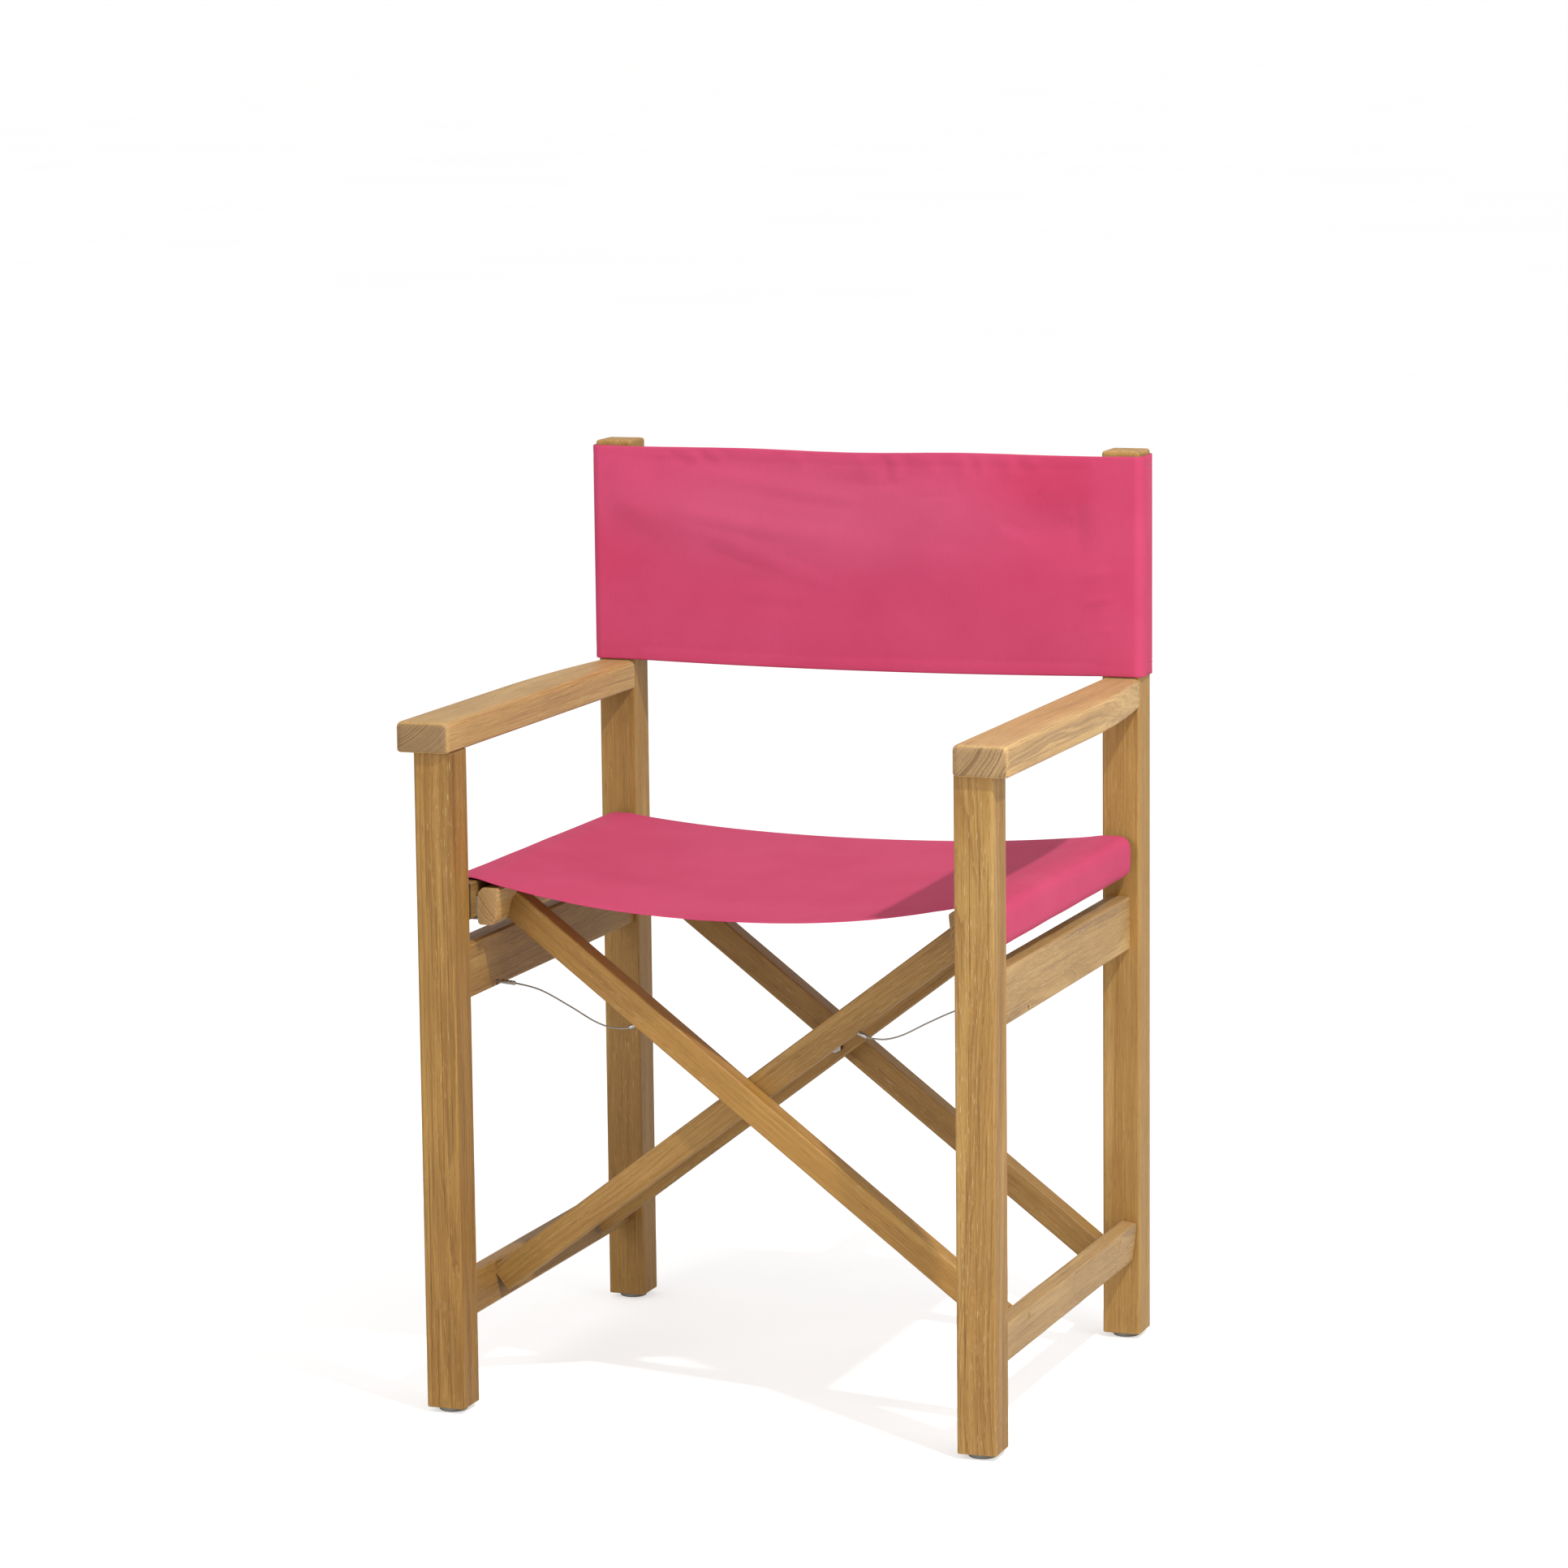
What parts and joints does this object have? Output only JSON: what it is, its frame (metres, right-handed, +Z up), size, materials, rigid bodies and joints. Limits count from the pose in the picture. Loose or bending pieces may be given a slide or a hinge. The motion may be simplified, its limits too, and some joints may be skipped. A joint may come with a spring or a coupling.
{
  "type": "folding director chair",
  "caption": "Folding wooden director chair with square legs, armrests, crossing bar frames, a slung fabric seat and a fabric back sleeved over the rear posts.",
  "frame": {"origin": "On the floor, half way between the side frames and half way between the front of the armrests and the back of the rear posts.", "axes": "+Z up; the sitter faces -Y; +X is to the right for someone standing in front of the chair and looking at it."},
  "size_m": [0.596, 0.5084, 0.88],
  "materials": {
    "teak": "oiled, fine sanded, grain along each piece",
    "fabric": "plain weave, matt, raspberry pink",
    "steel": "stainless",
    "wire": "twisted stainless wire",
    "nylon": "light grey nylon"
  },
  "bodies": {
    "right_side": {"right_front_leg": "teak", "right_rear_leg": "teak", "right_armrest": "teak", "right_upper_rail": "teak", "right_glides": "nylon", "right_leg_plugs": "teak", "right_pivot_pins": "steel", "right_frame_dowels": "teak", "right_armrest_screw": "steel", "back_sling": "fabric"},
    "frame_a": {"front_bar_a": "teak", "rear_bar_a": "teak", "right_lower_rail": "teak", "right_rail_screws": "steel", "right_rail_plugs": "teak", "left_seat_rail": "teak", "left_seat_rail_screws": "steel", "left_batten": "teak", "left_batten_brackets": "steel", "centre_bolts": "steel", "centre_washers": "nylon", "centre_nuts": "steel", "seat_sling": "fabric"},
    "frame_b": {"front_bar_b": "teak", "rear_bar_b": "teak", "left_lower_rail": "teak", "left_rail_screws": "steel", "left_rail_plugs": "teak", "right_seat_rail": "teak", "right_seat_rail_screws": "steel", "right_batten": "teak", "right_batten_brackets": "steel"},
    "left_side": {"left_front_leg": "teak", "left_rear_leg": "teak", "left_armrest": "teak", "left_upper_rail": "teak", "left_glides": "nylon", "left_leg_plugs": "teak", "left_pivot_pins": "steel", "left_frame_dowels": "teak", "left_armrest_screw": "steel"},
    "left_cable": {"left_cable": "wire", "left_cable_ferrules": "wire"},
    "right_cable": {"right_cable": "wire", "right_cable_ferrules": "wire"}
  },
  "joints": [
    {"name": "fold", "type": "hinge", "parent": "right_side", "child": "frame_a", "pos_m": [0.2652, 0, 0.104], "axis": [0, 1, 0], "range_deg": [0, 15], "deforming": ["seat_sling", "back_sling"]},
    {"name": "centre_pivot", "type": "hinge", "parent": "frame_a", "child": "frame_b", "pos_m": [0, 0, 0.2988], "axis": [0, 1, 0], "range_deg": [-30.5, 0], "deforming": ["seat_sling"]},
    {"name": "left_side_pivot", "type": "hinge", "parent": "frame_b", "child": "left_side", "pos_m": [-0.2652, 0, 0.104], "axis": [0, 1, 0], "range_deg": [0, 15.5]},
    {"name": "left_cable_swing", "type": "hinge", "parent": "left_side", "child": "left_cable", "pos_m": [-0.249, -0.138, 0.3965], "axis": [0, 1, 0], "range_deg": [-45.17, 0], "deforming": ["left_cable", "left_cable_ferrules"]},
    {"name": "right_cable_swing", "type": "hinge", "parent": "right_side", "child": "right_cable", "pos_m": [0.249, -0.115, 0.3965], "axis": [0, 1, 0], "range_deg": [0, 45.17], "deforming": ["right_cable", "right_cable_ferrules"]}
  ],
  "couplings": [
    {"joint": "centre_pivot", "follows": "fold", "ratio": -2},
    {"joint": "left_side_pivot", "follows": "fold", "ratio": 1},
    {"joint": "left_cable_swing", "follows": "fold", "ratio": -2.9783},
    {"joint": "right_cable_swing", "follows": "fold", "ratio": 2.9783}
  ]
}
